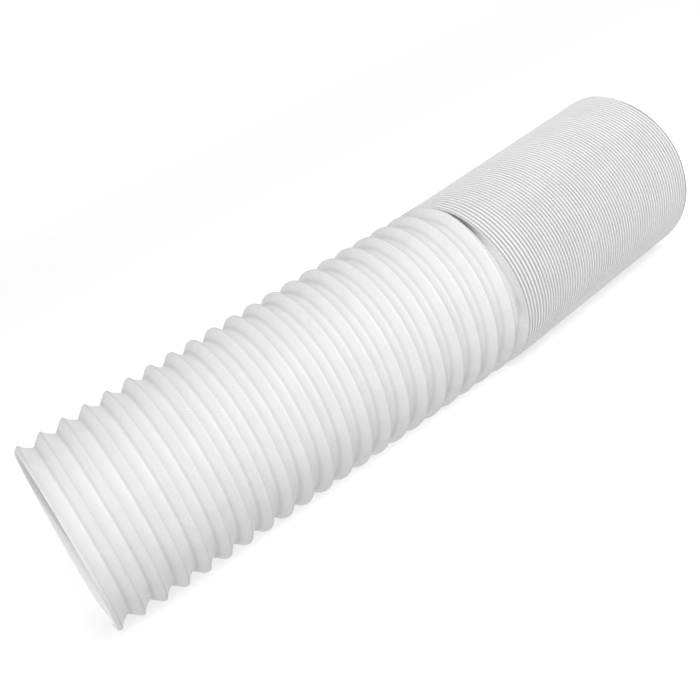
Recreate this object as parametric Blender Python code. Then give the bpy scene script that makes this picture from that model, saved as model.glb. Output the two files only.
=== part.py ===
"""Flexible exhaust hose of an air conditioner: one strip wound into a helical bellows.

Metres, +Z up. The stretched part lies along +X from its mouth, and the folded
part turns away towards +Y. The hose rests on the plane z = 0, and the origin is
the middle of its outline on that plane.
"""

import math

import bmesh
import bpy
from mathutils import Euler, Vector

# Driving dimensions
OUTER_RADIUS = 0.075
FREE_DEPTH = 0.0073
FOLD_DEPTH = 0.0104
WALL = 0.0005
FREE_PITCH = 0.01775
FOLD_PITCH = 0.0032
FREE_TURNS = 20.43
SETTLE_TURNS = 16.0
FIRST_CREST = 0.0014
BEND = math.radians(8.2)
BEND_AT = 0.3784
BEND_SPAN = 0.028
LENGTH = 0.5834
MOUTH_TRIM = 0.0033
MOUTH_TILT = math.radians(2.1)
MOUTH_YAW = math.radians(-1.1)
MOUTH_X, MOUTH_Y = -0.29604, -0.01418
SIDES = 16
VALLEY_SHARE = 0.52
SPARE_TURNS = 1.5

# How each ring of the strip stands: turned sideways, and its top ahead of its middle
FREE_YAW = math.radians(-1.05), math.radians(2.8)
FREE_LEAD = -0.0012, 0.0023
FOLD_YAW = math.radians(6.95), math.radians(12.0)
FOLD_LEAD = -0.0023, 0.0003
FREE_SWING = 1.0, 18.0
EVEN_SIDE = math.radians(160)

WHITE = (0.82, 0.83, 0.83, 1.0)
CORNER_RADIUS = OUTER_RADIUS / math.cos(math.pi / SIDES)


def ease(low, high, value):
    share = min(max((value - low) / (high - low), 0.0), 1.0)
    return share * share * (3 - 2 * share)


def wound_angle(turn):
    """Where the strip is after this many turns: it winds left-handed from the floor."""
    return math.radians(-90) - 2 * math.pi * turn


def lean(yaw, lead, angle):
    """How far a ring that stands askew reaches ahead of its middle at this angle."""
    return lead * math.sin(angle) - OUTER_RADIUS * math.sin(yaw) * math.cos(angle)


def free_crest(turn):
    """Crest of the stretched part, measured along the hose on its own side."""
    share = ease(*FREE_SWING, turn)
    yaw = FREE_YAW[0] + share * (FREE_YAW[1] - FREE_YAW[0])
    lead = FREE_LEAD[0] + share * (FREE_LEAD[1] - FREE_LEAD[0])
    return FIRST_CREST + FREE_PITCH * turn + lean(yaw, lead, wound_angle(turn))


def fold_crest(turn):
    """Crest of the folded part, which begins where the stretched part ends.

    The first folds settle into their slant, and are evenly spaced on one side.
    """
    share = ease(0.0, SETTLE_TURNS, turn - FREE_TURNS)
    yaw = FOLD_YAW[0] + share * (FOLD_YAW[1] - FOLD_YAW[0])
    lead = FOLD_LEAD[0] + share * (FOLD_LEAD[1] - FOLD_LEAD[0])
    first = FOLD_YAW[0], FOLD_LEAD[0]
    start = free_crest(FREE_TURNS) - lean(*first, wound_angle(FREE_TURNS))
    evened = lean(*first, EVEN_SIDE) - lean(yaw, lead, EVEN_SIDE)
    return (
        start
        + FOLD_PITCH * (turn - FREE_TURNS)
        + evened
        + lean(yaw, lead, wound_angle(turn))
    )


def crest_along(turn):
    return free_crest(turn) if turn <= FREE_TURNS else fold_crest(turn)


def heading(station):
    """Direction of the centre line, which swings round over a short arc."""
    share = (station - BEND_AT) / BEND_SPAN + 0.5
    return BEND * min(max(share, 0.0), 1.0)


def centre(station):
    """Point of the centre line, on its straight runs and on the arc between them."""
    start = BEND_AT - BEND_SPAN / 2
    if station <= start:
        return MOUTH_X + station, MOUTH_Y
    arc = min(station - start, BEND_SPAN)
    turned = BEND * arc / BEND_SPAN
    radius = BEND_SPAN / BEND
    x = MOUTH_X + start + radius * math.sin(turned)
    y = MOUTH_Y + radius * (1 - math.cos(turned))
    rest = station - start - arc
    return x + rest * math.cos(turned), y + rest * math.sin(turned)


def wall_point(along, radius, angle):
    """Point of the wall at a distance along the hose, a radius and an angle."""
    start = BEND_AT - BEND_SPAN / 2
    side = radius * math.cos(angle)
    along += side * math.sin(BEND) * ease(start, start + BEND_SPAN, along)
    x, y = centre(along)
    turned = heading(along)
    return (
        x - side * math.sin(turned),
        y + side * math.cos(turned),
        OUTER_RADIUS + radius * math.sin(angle),
    )


def depth_and_offset(pitch):
    """Depth of a fold, and the wall's thickness measured square to the axis.

    The folds deepen as the pitch closes, because the strip keeps its width.
    """
    open_share = min(max((pitch - FOLD_PITCH) / (FREE_PITCH - FOLD_PITCH), 0.0), 1.0)
    depth = FOLD_DEPTH + open_share * open_share * (FREE_DEPTH - FOLD_DEPTH)
    return depth, WALL * math.hypot(pitch / 2, depth) / (pitch / 2)


def wind_hose():
    """Closed mesh of the wound strip, with spare turns past both ends."""
    steps_before = int(SPARE_TURNS * SIDES)
    folded = LENGTH - crest_along(FREE_TURNS) + OUTER_RADIUS * math.sin(FOLD_YAW[1])
    last_turn = FREE_TURNS + folded / FOLD_PITCH + SPARE_TURNS
    steps = range(-steps_before, int(last_turn * SIDES))
    scale = CORNER_RADIUS / OUTER_RADIUS

    mesh = bmesh.new()
    rows = []
    for step in steps:
        turn = (step - 0.5) / SIDES
        before, here, after = (crest_along(turn + k) for k in (-1, 0, 1))
        depth, valley_wall = depth_and_offset(after - here)
        crest_wall = depth_and_offset((after - before) / 2)[1]
        valley_at = here + VALLEY_SHARE * (after - here)
        section = (
            (here, OUTER_RADIUS),
            (valley_at, OUTER_RADIUS - depth),
            (valley_at, OUTER_RADIUS - depth - valley_wall),
            (here, OUTER_RADIUS - crest_wall),
        )
        angle = wound_angle(turn)
        rows.append(
            [mesh.verts.new(wall_point(along, r * scale, angle)) for along, r in section]
        )

    count = len(rows) - SIDES
    for i in range(count - 1):
        a, b = rows[i], rows[i + 1]
        c, d = rows[i + SIDES], rows[i + SIDES + 1]
        mesh.faces.new((a[0], a[1], b[1], b[0]))
        mesh.faces.new((a[1], c[0], d[0], b[1]))
        mesh.faces.new((a[2], a[3], b[3], b[2]))
        mesh.faces.new((c[3], a[2], b[2], d[3]))

    # Side edges of the strip at its first and last turns, then its two ends
    for i in range(SIDES):
        a, b = rows[i], rows[i + 1]
        mesh.faces.new((a[0], b[0], b[3], a[3]))
    for i in range(count - 1, len(rows) - 1):
        a, b = rows[i], rows[i + 1]
        mesh.faces.new((a[0], a[3], b[3], b[0]))
    for i in (0, count - 1):
        a, c = rows[i], rows[i + SIDES]
        mesh.faces.new((a[0], a[3], a[2], a[1]))
        mesh.faces.new((a[1], a[2], c[3], c[0]))
    loose = [corner for corner in mesh.verts if not corner.link_faces]
    bmesh.ops.delete(mesh, geom=loose, context="VERTS")
    bmesh.ops.recalc_face_normals(mesh, faces=mesh.faces)
    return mesh


def make_material(name, colour, roughness, metallic):
    material = bpy.data.materials.new(name)
    material.use_nodes = True
    shader = material.node_tree.nodes["Principled BSDF"]
    shader.inputs["Base Color"].default_value = colour
    shader.inputs["Roughness"].default_value = roughness
    shader.inputs["Metallic"].default_value = metallic
    return material


def add_trimmer(name, station, yaw, tilt, side):
    """Block beyond a cut end: side is -1 at the mouth and 1 at the far end."""
    size = 0.3
    x, y = centre(station)
    turn = Euler((0.0, tilt, yaw))
    outward = Vector((side, 0.0, 0.0))
    outward.rotate(turn)
    bpy.ops.mesh.primitive_cube_add(
        size=size,
        location=Vector((x, y, OUTER_RADIUS)) + outward * size / 2,
        rotation=turn,
    )
    block = bpy.context.object
    block.name = name
    block.hide_render = True
    block.display_type = "WIRE"
    return block


def trim(target, cutter, name):
    """Cuts the block away from the hose."""
    modifier = target.modifiers.new(name, "BOOLEAN")
    modifier.operation = "DIFFERENCE"
    modifier.solver = "EXACT"
    modifier.object = cutter


for old in list(bpy.data.objects):
    bpy.data.objects.remove(old)

wound = wind_hose()
hose_mesh = bpy.data.meshes.new("hose")
wound.to_mesh(hose_mesh)
wound.free()
hose = bpy.data.objects.new("hose", hose_mesh)
bpy.context.scene.collection.objects.link(hose)
hose_mesh.materials.append(make_material("white_polypropylene", WHITE, 0.42, 0.0))

mouth_trimmer = add_trimmer("mouth_trimmer", MOUTH_TRIM, MOUTH_YAW, MOUTH_TILT, -1)
far_trimmer = add_trimmer("far_trimmer", LENGTH, heading(LENGTH), 0.0, 1)
trim(hose, mouth_trimmer, "cut_mouth")
trim(hose, far_trimmer, "cut_far_end")
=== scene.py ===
import math

import bmesh
import bpy
import numpy as np
from mathutils import Matrix, Vector


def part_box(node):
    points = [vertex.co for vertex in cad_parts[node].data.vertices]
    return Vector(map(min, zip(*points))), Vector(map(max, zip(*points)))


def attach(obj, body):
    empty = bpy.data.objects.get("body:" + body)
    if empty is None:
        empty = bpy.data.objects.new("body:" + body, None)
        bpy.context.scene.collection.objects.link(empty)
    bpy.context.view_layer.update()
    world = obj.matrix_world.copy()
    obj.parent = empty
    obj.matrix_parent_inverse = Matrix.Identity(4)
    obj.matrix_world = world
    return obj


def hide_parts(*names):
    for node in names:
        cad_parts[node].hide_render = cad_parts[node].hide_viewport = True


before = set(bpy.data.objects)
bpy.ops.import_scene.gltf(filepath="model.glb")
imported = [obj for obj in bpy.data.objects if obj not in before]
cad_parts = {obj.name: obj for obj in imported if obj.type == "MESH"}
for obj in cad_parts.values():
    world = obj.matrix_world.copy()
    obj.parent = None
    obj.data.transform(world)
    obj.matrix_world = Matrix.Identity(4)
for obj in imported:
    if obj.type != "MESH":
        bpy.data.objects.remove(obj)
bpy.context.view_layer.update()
hoseLow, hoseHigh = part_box("hose")
print("frame loaded")

# metres throughout; turns are counted from the first crest, at the bottom of the mouth
hose = {
    "outerRadius": (hoseHigh[2] - hoseLow[2]) / 2,
    "wall": 0.0005,
    "length": 0.5831,
    "slices": 64,                     # flats in one turn
    "sharpOver": math.radians(48),    # edges that turn more than this stay sharp
    # the way it lies: where the mouth is, and the bend with its middle and reach
    "mouthAt": (-0.29604, -0.01418),
    "bend": math.radians(8.2),
    "bendAt": 0.3784,
    "bendSpan": 0.028,
    "bendRounds": 12,                 # tries until a ring keeps its place along x in the bend
    # the waves
    "firstCrest": 0.0014,
    "freePitch": 0.01775,
    "foldPitch": 0.0032,
    "freeDepth": 0.0067,
    "foldDepth": 0.0104,
    "freeTurns": 20.43,               # here, near the top, the drawn-out strip runs into the stack
    # how each ring of the strip stands: turned sideways, and its top ahead of its middle
    "freeYaw": (math.radians(-1.05), math.radians(2.8)),
    "freeLead": (-0.0012, 0.0023),
    "freeSwing": (1, 18),             # turns over which the first way goes over into the second
    "foldYaw": (math.radians(6.95), math.radians(12)),
    "foldLead": (-0.0023, 0.0003),
    "foldSettle": 16,                 # turns until the folds stand alike
    "evenSide": math.radians(20),     # the folds are evenly spaced on this side
    # the mouth is cut at a slight slant, and the first crests stand lower
    "mouthTrim": 0.00335,
    "mouthSlant": 0.0027,
    "mouthSwing": -0.00145,
    "mouthPinch": 0.0018,
    "pinchTurns": 2.2,
    # so do the last crests, from this turn on
    "crestDrop": 0.0008,
    "dropFrom": 10,
    # over these turns the last wave's valley moves up to the stack, and its wall hangs over it
    "lagFrom": (20.165, 20.20),
    "lagTo": (20.41, 20.43),
    "lag": 0.32,
    "overhang": 2.2,
    # the first folds lie this much closer to the last wave; folds over which that grows and ends
    "pull": 0.0012,
    "pullIn": (0, 0.5),
    "pullOver": (3, 8),
    # the far end: the last fold flattens over this length, and the strip is wound past the cut
    "endFlat": 0.0035,
    "spare": 0.002,
    # the strip's own map: its width, and its length for one metre along the hose
    "stripWidth": 0.0225,
    "unrolled": 1.27,
    "insideMap": 0.05,                # the inner face lies this much further on
    "rimMap": (0, 0.1),
}

mmPerMetre = 1000
# one wave of the drawn-out wall: mm past the crest, share of the depth
freeWave = [
    (0.0, 0.000), (0.8, 0.020), (1.5, 0.170), (3.0, 0.460), (5.0, 0.710), (7.0, 0.900),
    (8.3, 0.985), (9.1, 1.000), (9.7, 0.940), (10.9, 0.730), (11.9, 0.610), (14.0, 0.330),
    (15.7, 0.090), (16.8, 0.005),
]
# one closed fold: share of its pitch, share of the depth
foldWave = [
    (0.00, 0.000), (0.16, 0.012), (0.26, 0.070), (0.34, 0.960), (0.70, 0.960), (0.78, 0.070),
    (0.88, 0.012),
]
# the same two waves with fewer points, for the inner face
freeWaveInside = [freeWave[i] for i in (0, 1, 2, 3, 4, 5, 7, 9, 11, 12)]
foldWaveInside = [(0.00, 0.000), (0.22, 0.015), (0.34, 0.960), (0.70, 0.960), (0.82, 0.015)]


def smooth(low, high, value):
    share = np.clip((value - low) / (high - low), 0, 1)
    return share * share * (3 - 2 * share)


def upAngle(turn):
    # round the hose from its bottom: 0 is the near side, 90 degrees the top
    return np.radians(-90 + 360 * turn)


def ringLean(yaw, lead, up):
    # how far a ring that stands askew reaches ahead of its middle
    return hose["outerRadius"] * np.sin(yaw) * np.cos(up) + lead * np.sin(up)


def ringSet(kind, share):
    yaw, lead = hose[kind + "Yaw"], hose[kind + "Lead"]
    return yaw[0] + share * (yaw[1] - yaw[0]), lead[0] + share * (lead[1] - lead[0])


def freeCrest(turn):
    ring = ringSet("free", smooth(*hose["freeSwing"], turn))
    return hose["firstCrest"] + hose["freePitch"] * turn + ringLean(*ring, upAngle(turn))


def foldCrest(turn):
    folded = turn - hose["freeTurns"]
    first = ringSet("fold", 0)
    ring = ringSet("fold", smooth(0, hose["foldSettle"], folded))
    start = freeCrest(hose["freeTurns"]) - ringLean(*first, upAngle(hose["freeTurns"]))
    evened = ringLean(*first, hose["evenSide"]) - ringLean(*ring, hose["evenSide"])
    pulled = smooth(*hose["pullIn"], folded) * (1 - smooth(*hose["pullOver"], folded))
    evened = evened - hose["pull"] * pulled
    return start + hose["foldPitch"] * folded + evened + ringLean(*ring, upAngle(turn))


def crestAlong(turn):
    # where the crest at this turn stands, measured along the hose on its own side
    return freeCrest(turn) if turn <= hose["freeTurns"] else foldCrest(turn)


def mouthCut(up):
    return hose["mouthTrim"] + hose["mouthSlant"] * np.sin(up) + hose["mouthSwing"] * np.cos(up)


def farCut(up):
    # square to the hose beyond the bend
    return hose["length"] + hose["outerRadius"] * math.sin(hose["bend"]) * np.cos(up)


def hosePoint(along, radius, up):
    # a place on the wall, from its distance along the axis, carried round the bend
    start = hose["bendAt"] - hose["bendSpan"] / 2
    side = -radius * np.cos(up)
    straight = along
    for attempt in range(hose["bendRounds"]):
        arc = np.clip(along - start, 0, hose["bendSpan"])
        turned = hose["bend"] * arc / hose["bendSpan"]
        along = straight + side * np.sin(turned)
    bendRadius = hose["bendSpan"] / hose["bend"]
    rest = np.maximum(along - start - arc, 0)
    x = hose["mouthAt"][0] + np.minimum(along, start)
    x = x + bendRadius * np.sin(turned) + rest * np.cos(turned)
    y = hose["mouthAt"][1] + bendRadius * (1 - np.cos(turned)) + rest * np.sin(turned)
    z = hose["outerRadius"] + radius * np.sin(up)
    return np.stack([x - side * np.sin(turned), y + side * np.cos(turned), z], -1)


def lagValley(wave, turn):
    # the last wave before the stack: its valley moves on, and the wall before it hangs over
    lag = smooth(*hose["lagFrom"], turn) * (1 - smooth(*hose["lagTo"], turn))
    at, drop = wave[:, 0], wave[:, 1]
    low = at[drop.argmax()]
    moved = low + lag * hose["lag"]
    before = at < low
    stations = np.where(before, at * moved / low, 1 - (1 - at) * (1 - moved) / (1 - low))
    return np.stack([stations, np.where(before, drop ** (1 + lag * hose["overhang"]), drop)], 1)


def waveRow(step, inner):
    # the wall's outline over one wave, from the crest at this step to the crest one turn on
    turn = step / hose["slices"]
    here, there = crestAlong(turn), crestAlong(turn + 1)
    pitch = there - here
    spread = hose["freePitch"] - hose["foldPitch"]
    closed = 1 - np.clip((pitch - hose["foldPitch"]) / spread, 0, 1)
    deepened = 1 - (1 - closed) ** 2     # the strip keeps its width as the folds close
    depth = hose["freeDepth"] + (hose["foldDepth"] - hose["freeDepth"]) * deepened
    if turn > hose["freeTurns"]:
        wave = np.array(foldWaveInside if inner else foldWave)
    else:
        wave = np.array(freeWaveInside if inner else freeWave)
        wave = lagValley(wave / (hose["freePitch"] * mmPerMetre, 1), turn)
    stations = here + pitch * wave[:, 0]
    drop = hose["mouthPinch"] * np.exp(-np.maximum(turn, 0) / hose["pinchTurns"])
    drop += hose["crestDrop"] * smooth(hose["dropFrom"], hose["freeTurns"], turn)
    if inner:
        # moved in by the wall's thickness, square to a typical flank
        flank = pitch / 2
        drop += hose["wall"] * math.hypot(flank, depth) / flank
    return stations, hose["outerRadius"] - depth * wave[:, 1] - drop


def wallOutline(slice_, inner):
    # whole outline of the wall along one slice: station, radius, step and spot in the wave
    slices = hose["slices"]
    cut = farCut(upAngle(slice_ / slices))
    step = slice_ - slices
    rows = []
    while crestAlong(step / slices) < cut + hose["spare"]:
        stations, radii = waveRow(step, inner)
        spots = np.arange(len(stations))
        rows.append(np.stack([stations, radii, np.full(len(stations), step), spots], 1))
        step += slices
    outline = np.vstack(rows)
    # the last fold flattens out, so that the far end is an even ring
    ring = hose["outerRadius"] - hose["crestDrop"] - inner * hose["wall"]
    folded = smooth(0, hose["endFlat"], cut - outline[:, 0])
    outline[:, 1] = ring - (ring - outline[:, 1]) * folded
    return outline


def trimOutline(outline, low, high):
    # ends the outline exactly at both cuts; everything beyond a cut gathers on it
    stations = outline[:, 0]
    first = np.searchsorted(stations, low, side="right") - 1
    last = np.searchsorted(stations, high, side="left")
    trimmed = outline.copy()
    for at, cut in ((first, low), (last, high)):
        trimmed[at, :2] = cut, np.interp(cut, stations, outline[:, 1])
    return trimmed, first, last


def placePoints(bm, inner):
    # one face of the wall: its points by step and spot, its two end loops, points in each wave
    slices = hose["slices"]
    table, loops, counts = {}, ([], []), {}
    for s in range(slices):
        up = upAngle(s / slices)
        outline, first, last = trimOutline(wallOutline(s, inner), mouthCut(up), farCut(up))
        places = hosePoint(outline[:, 0], outline[:, 1], up)
        kept = [bm.verts.new(places[i]) for i in range(first, last + 1)]
        for i, (step, spot) in enumerate(outline[:, 2:].astype(int)):
            table[step, spot] = kept[min(max(i, first), last) - first]
            counts[step] = max(counts.get(step, 0), spot + 1)
        loops[0].append(kept[0])
        loops[1].append(kept[-1])
    return table, loops, counts


def addFace(bm, uvLayer, corners, uvs):
    # corners that gather in one point at a cut are taken once
    seen, keptUvs = [], []
    for vert, uv in zip(corners, uvs):
        if vert not in seen:
            seen.append(vert)
            keptUvs.append(uv)
    if len(seen) < 3:
        return
    face = bm.faces.get(seen) or bm.faces.new(seen)
    face.smooth = True
    for loop, uv in zip(face.loops, keptUvs):
        loop[uvLayer].uv = uv


def stripPlace(step, spot, count, back):
    # metres along the strip, and across it from the crest
    if count < len(freeWaveInside):
        across = spot / count * hose["stripWidth"]
    else:
        wave = freeWave if count == len(freeWave) else freeWaveInside
        past = wave[spot][0] / mmPerMetre if spot < count else hose["freePitch"]
        across = past * hose["unrolled"]
    return step / hose["slices"] * 2 * math.pi * hose["outerRadius"], across + back


def layFaces(bm, uvLayer, table, counts, inner):
    # between each wave and the one that starts a slice further on
    slices = hose["slices"]
    back = hose["insideMap"] if inner else 0.0
    for step in sorted(counts):
        if step + 1 not in counts:
            continue
        count, nextCount = counts[step], counts[step + 1]
        for spot in range(count):
            far = spot + 1
            nextSpot = round(spot * nextCount / count)
            nextFar = round(far * nextCount / count)
            keys = (
                (step, spot),
                (step, far) if far < count else (step + slices, 0),
                (step + 1, nextFar) if nextFar < nextCount else (step + 1 + slices, 0),
                (step + 1, nextSpot),
            )
            if any(key not in table for key in keys):
                continue
            corners = [table[key] for key in keys]
            uvs = [
                stripPlace(step, spot, count, back),
                stripPlace(step, far, count, back),
                stripPlace(step + 1, nextFar, nextCount, back),
                stripPlace(step + 1, nextSpot, nextCount, back),
            ]
            if inner:
                corners, uvs = corners[::-1], uvs[::-1]
            addFace(bm, uvLayer, corners, uvs)


def closeRim(bm, uvLayer, outer, inside):
    slices = hose["slices"]
    for s in range(slices):
        n = (s + 1) % slices
        corners = (outer[s], outer[n], inside[n], inside[s])
        addFace(bm, uvLayer, corners, (hose["rimMap"],) * len(corners))


def windHose():
    bm = bmesh.new()
    uvLayer = bm.loops.layers.uv.new("strip")
    ends = []
    for inner in (False, True):
        table, loops, counts = placePoints(bm, inner)
        layFaces(bm, uvLayer, table, counts, inner)
        ends.append(loops)
    for outer, inside in zip(*ends):
        closeRim(bm, uvLayer, outer, inside)
    bmesh.ops.recalc_face_normals(bm, faces=bm.faces)
    mesh = bpy.data.meshes.new("woundHose")
    bm.to_mesh(mesh)
    bm.free()
    mesh.set_sharp_from_angle(angle=hose["sharpOver"])
    piece = bpy.data.objects.new("woundHose", mesh)
    bpy.context.scene.collection.objects.link(piece)
    return piece


class Wire:
    # a node's socket, with the usual signs, so shader maths reads as plain sums
    def __init__(self, looks, socket):
        self.looks, self.socket = looks, socket

    def sum(self, operation, first, second):
        return self.looks.node("ShaderNodeMath", {"operation": operation}, {0: first, 1: second})

    def sine(self):
        return self.sum("SINE", self, 0)

    def __add__(self, other):
        return self.sum("ADD", self, other)

    def __radd__(self, other):
        return self.sum("ADD", other, self)

    def __sub__(self, other):
        return self.sum("SUBTRACT", self, other)

    def __rsub__(self, other):
        return self.sum("SUBTRACT", other, self)

    def __mul__(self, other):
        return self.sum("MULTIPLY", self, other)

    def __rmul__(self, other):
        return self.sum("MULTIPLY", other, self)

    def __truediv__(self, other):
        return self.sum("DIVIDE", self, other)

    def __rtruediv__(self, other):
        return self.sum("DIVIDE", other, self)


class Wiring:
    def __init__(self, owner, shader):
        self.owner = owner
        owner.use_nodes = True
        self.tree = owner.node_tree
        self.shader = self.tree.nodes[shader]

    def node(self, kind, settings=None, sockets=None, out=0):
        made = self.tree.nodes.new(kind)
        for key, value in (settings or {}).items():
            if key == "stops":
                while len(made.color_ramp.elements) < len(value):
                    made.color_ramp.elements.new(0.5)
                for element, (place, colour) in zip(made.color_ramp.elements, value):
                    element.position, element.color = place, colour
            else:
                setattr(made, key, value)
        for key, value in (sockets or {}).items():
            self.plug(made.inputs[key], value)
        return Wire(self, made.outputs[out])

    def plug(self, socket, value):
        if isinstance(value, Wire):
            self.tree.links.new(value.socket, socket)
        else:
            socket.default_value = value

    def set(self, **values):
        for key, value in values.items():
            self.plug(self.shader.inputs[key.replace("_", " ")], value)

    def axis(self, vector, number):
        return self.node("ShaderNodeSeparateXYZ", {}, {0: vector}, out=number)

    def between(self, value, low, high):
        # 0 below low, 1 above high, eased
        return self.node(
            "ShaderNodeMapRange", {"interpolation_type": "SMOOTHSTEP"},
            {"Value": value, "From Min": low, "From Max": high},
        )

    def mix(self, factor, first, second):
        return self.node(
            "ShaderNodeMix", {"data_type": "RGBA"}, {0: factor, 6: first, 7: second}, out=2,
        )


class Looks(Wiring):
    def __init__(self, name):
        super().__init__(bpy.data.materials.new(name), "Principled BSDF")


whitePlastic = {
    "colour": (0.746, 0.744, 0.745),
    "roughness": 0.42,
    "roughnessSpread": 0.1,
    # painted light and shade across the strip's width, from one crest to the next, in the
    # drawn-out part: a dark line at the crest, partly its seam and partly painted shade, painted
    # shade in the valley and painted light on the flank before the crest
    "freePaintedShading": [
        (0.00, 0.74), (0.03, 0.87), (0.08, 0.93), (0.15, 0.955), (0.30, 0.95), (0.40, 0.96),
        (0.50, 0.96), (0.54, 0.93), (0.60, 0.94), (0.67, 1.06), (0.73, 1.10), (0.82, 1.12),
        (0.90, 1.09), (0.97, 0.97), (1.00, 0.78),
    ],
    # and in the closed folds: painted shade down in the groove, painted light on the fold tops
    "foldPaintedShading": [
        (0.00, 1.18), (0.26, 1.15), (0.36, 0.92), (0.43, 0.74), (0.57, 0.74), (0.66, 0.92),
        (0.76, 1.15),
    ],
    "joinEase": 0.002,
    # painted light and then painted shadow in the last gap before the stack: places along the
    # strip, counted from the stack's start, where the painted light begins, is brightest, where
    # the painted shadow is black and where it is over
    "gapAlong": (-0.15, -0.045, -0.010, 0.024),
    "gapPaintedLight": 0.18,
    "gapPaintedShadow": 0.75,
    # shares of the strip's width over which it begins and ends
    "gapFrom": (0.28, 0.42),
    "gapTo": (0.90, 0.97),
    # painted light: the inner face glows, standing in for daylight through the thin wall; it fades
    # over this depth in from the mouth
    "insidePaintedGlow": 0.38,
    "insideFrom": (2.0, 2.1),     # widths of the strip beyond which the map is the inner face's
    "glowOver": (0.004, 0.016),
    "glowFade": 0.8,
    # the cross-hatched edge of the strip lies between these shares, with soft edges
    "band": (0.74, 0.93),
    "bandEdges": (0.03, 0.02),
    "hatchAlong": 0.0029,
    "hatchAcross": 0.0024,
    "hatchPaintedShading": 0.06,
    "hatchHeight": 0.0001,
    # faint clouds in the white, a fine grain and slack wrinkles
    "clouds": {"Scale": 38.0, "Detail": 3.0},
    "cloudFrom": (0.35, 0.75),
    "cloudShade": (1.015, 0.03),
    "grain": {"Scale": 900.0, "Detail": 2.0},
    "grainShare": (0.15, 0.85),   # everywhere, and more in the band
    "grainHeight": 0.00012,
    "wrinkles": {"Scale": 70.0, "Detail": 2.0, "Distortion": 0.4},
    "wrinkleHeight": 0.0013,
    "bump": 0.6,
}


def plasticLooks():
    w = whitePlastic
    looks = Looks("whitePolypropylene")
    strip = looks.node("ShaderNodeUVMap", {"uv_map": "strip"})
    along = looks.axis(strip, 0)
    across = looks.axis(strip, 1) / hose["stripWidth"]
    place = looks.node("ShaderNodeTexCoord", out=3)

    # painted light and shade across the strip's width: one ramp for the drawn-out wall, one for
    # the folds
    paintedShades = []
    for key in ("freePaintedShading", "foldPaintedShading"):
        stops = [(at, (paintedShadeAndTone, paintedShadeAndTone, paintedShadeAndTone, 1)) for at, paintedShadeAndTone in w[key]]
        paintedShades.append(looks.node("ShaderNodeValToRGB", {"stops": stops}, {"Fac": across}))
    joinAt = hose["freeTurns"] * 2 * math.pi * hose["outerRadius"]
    stacked = looks.between(along, joinAt - w["joinEase"], joinAt + w["joinEase"])
    paintedShadeAndTone = looks.mix(stacked, *paintedShades)

    # painted light and then painted shadow in the last gap before the stack, towards the top
    start, light, paintedShadowFull, end = (joinAt + at for at in w["gapAlong"])
    gapPaintedShading = w["gapPaintedShadow"] * looks.between(along, light, paintedShadowFull)
    gapPaintedShading = gapPaintedShading - w["gapPaintedLight"] * looks.between(along, start, light)
    gap = looks.between(across, *w["gapFrom"]) * (1 - looks.between(across, *w["gapTo"]))
    paintedShadeAndTone = paintedShadeAndTone * (1 - gap * gapPaintedShading * (1 - looks.between(along, paintedShadowFull, end)))

    clouds = looks.node("ShaderNodeTexNoise", {}, {"Vector": place, **w["clouds"]})
    grain = looks.node("ShaderNodeTexNoise", {}, {"Vector": place, **w["grain"]})
    wrinkles = looks.node("ShaderNodeTexNoise", {}, {"Vector": place, **w["wrinkles"]})
    clear, cloudy = w["cloudShade"]
    paintedShadeAndTone = paintedShadeAndTone * (clear - cloudy * looks.between(clouds, *w["cloudFrom"]))

    (low, high), (lowEdge, highEdge) = w["band"], w["bandEdges"]
    band = looks.between(across, low, low + lowEdge)
    band = band * (1 - looks.between(across, high - highEdge, high))
    band = band * (1 - stacked)
    hatch = (along * (2 * math.pi / w["hatchAlong"])).sine()
    hatch = hatch * (across * (2 * math.pi * hose["stripWidth"] / w["hatchAcross"])).sine()
    # painted light and shade of the hatch's relief on the band
    paintedShadeAndTone = paintedShadeAndTone * (1 + w["hatchPaintedShading"] * hatch * band)

    overall, inBand = w["grainShare"]
    height = grain * (overall + inBand * band) * w["grainHeight"]
    height = height + wrinkles * w["wrinkleHeight"] * (1 - stacked)
    height = height + hatch * band * w["hatchHeight"]

    # the white, scaled by the painted light and shade and by the clouds
    colour = looks.node(
        "ShaderNodeVectorMath", {"operation": "SCALE"}, {0: w["colour"], "Scale": paintedShadeAndTone},
    )
    # painted light: the inner face glows, less so deeper in from the mouth
    within = looks.between(across, *w["insideFrom"])
    depth = looks.axis(place, 0) - hose["mouthAt"][0]
    lit = within * (1 - w["glowFade"] * looks.between(depth, *w["glowOver"]))
    paintedGlow = looks.mix(lit, (0, 0, 0, 1), (1, 1, 1, 1))
    bump = looks.node(
        "ShaderNodeBump", {}, {"Height": height, "Strength": w["bump"], "Distance": 1.0},
    )
    looks.set(
        Base_Color=colour, Roughness=w["roughness"] + clouds * w["roughnessSpread"],
        Normal=bump, Emission_Color=paintedGlow, Emission_Strength=w["insidePaintedGlow"],
    )
    return looks.owner


studio = {
    "focalPixels": 1045,          # focal length, for a picture that is 700 pixels wide
    "picturePixels": 700,
    "sensor": 36,
    "eye": (-0.32653, -0.73542, 0.33066),
    "right": (0.78696, -0.45860, -0.41278),
    "up": (0.50567, 0.09603, 0.85737),
    "room": 0.60,                 # brightness of the room, overhead, below and behind
    "sidelong": 0.2,              # how much more light comes from the stack's side
    "backdrop": 1.03,             # brightness of the far wall, how it begins and its top
    "backdropFrom": (-0.1, 0.3),
    "backdropTop": (0.25, 0.5),
    "keyAt": (0, -1.5, 1.0),
    "keyAim": (0, 0, 0.05),
    "keySize": 1.4,
    "keyPower": 21.5,
    "floorColour": (0.9, 0.9, 0.9, 1),
    "floorRoughness": 0.9,
    "floorGlow": 0.36,
    "floorReach": 6.0,
    "floorSides": 96,
    "floorFade": (1.6, 4.5),
}


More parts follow.
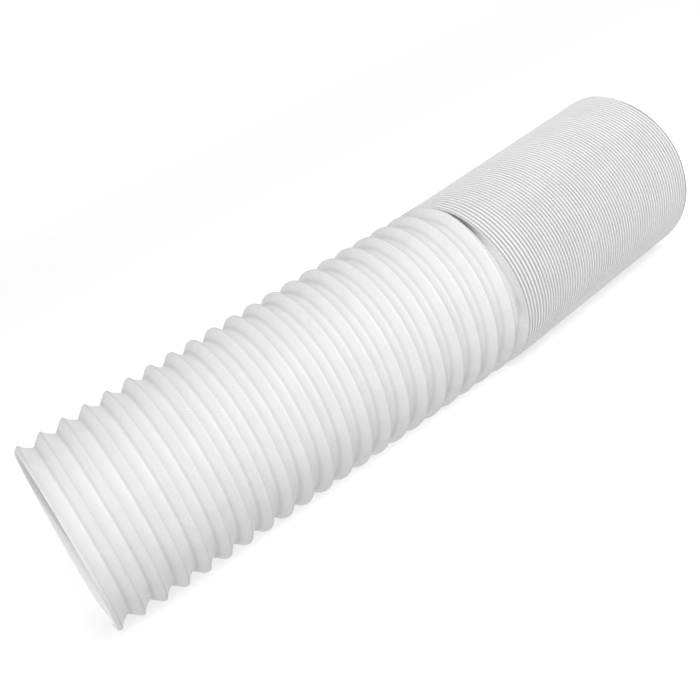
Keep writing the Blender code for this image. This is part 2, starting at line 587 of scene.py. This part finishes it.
def addCamera():
    data = bpy.data.cameras.new("camera")
    data.lens = studio["focalPixels"] / studio["picturePixels"] * studio["sensor"]
    data.sensor_width = studio["sensor"]
    camera = bpy.data.objects.new("camera", data)
    bpy.context.scene.collection.objects.link(camera)
    right, up = Vector(studio["right"]).normalized(), Vector(studio["up"]).normalized()
    away = right.cross(up)
    turn = Matrix((right, up, away)).transposed().to_4x4()
    camera.matrix_world = Matrix.Translation(studio["eye"]) @ turn
    bpy.context.scene.camera = camera


def addKeyLight():
    data = bpy.data.lights.new("keyLight", "AREA")
    data.shape = "DISK"
    data.size = studio["keySize"]
    data.energy = studio["keyPower"]
    light = bpy.data.objects.new("keyLight", data)
    light.location = studio["keyAt"]
    aim = Vector(studio["keyAim"]) - Vector(studio["keyAt"])
    light.rotation_euler = aim.to_track_quat("-Z", "Y").to_euler()
    bpy.context.scene.collection.objects.link(light)


def addFloor():
    bpy.ops.mesh.primitive_circle_add(
        vertices=studio["floorSides"], radius=studio["floorReach"], fill_type="NGON",
    )
    floor = bpy.context.object
    floor.name = "floor"
    looks = Looks("paleFloor")
    place = looks.node("ShaderNodeTexCoord", out=3)
    away = looks.node("ShaderNodeVectorMath", {"operation": "LENGTH"}, {0: place}, out=1)
    looks.set(
        Base_Color=studio["floorColour"], Roughness=studio["floorRoughness"],
        Alpha=1 - looks.between(away, *studio["floorFade"]),
        Emission_Color=(1, 1, 1, 1), Emission_Strength=studio["floorGlow"],
    )
    floor.visible_diffuse = False
    floor.data.materials.append(looks.owner)


def addSky():
    world = bpy.data.worlds.new("studio")
    bpy.context.scene.world = world
    sky = Wiring(world, "Background")
    place = sky.node("ShaderNodeTexCoord")
    aside, behind, height = (sky.axis(place, number) for number in (0, 1, 2))
    room = studio["room"] * (1 + studio["sidelong"] * aside)
    backdrop = sky.between(behind, *studio["backdropFrom"])
    backdrop = backdrop * (1 - sky.between(height, *studio["backdropTop"]))
    sky.set(Color=(1, 1, 1, 1), Strength=room + (studio["backdrop"] - room) * backdrop)


addCamera()
addSky()
addFloor()
addKeyLight()
bpy.context.scene.view_settings.view_transform = "Standard"
print("studio ready")

piece = windHose()
print("hose wound:", len(piece.data.polygons), "faces")
piece.data.materials.append(plasticLooks())
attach(piece, "root")
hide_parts("hose")
print("hose dressed")
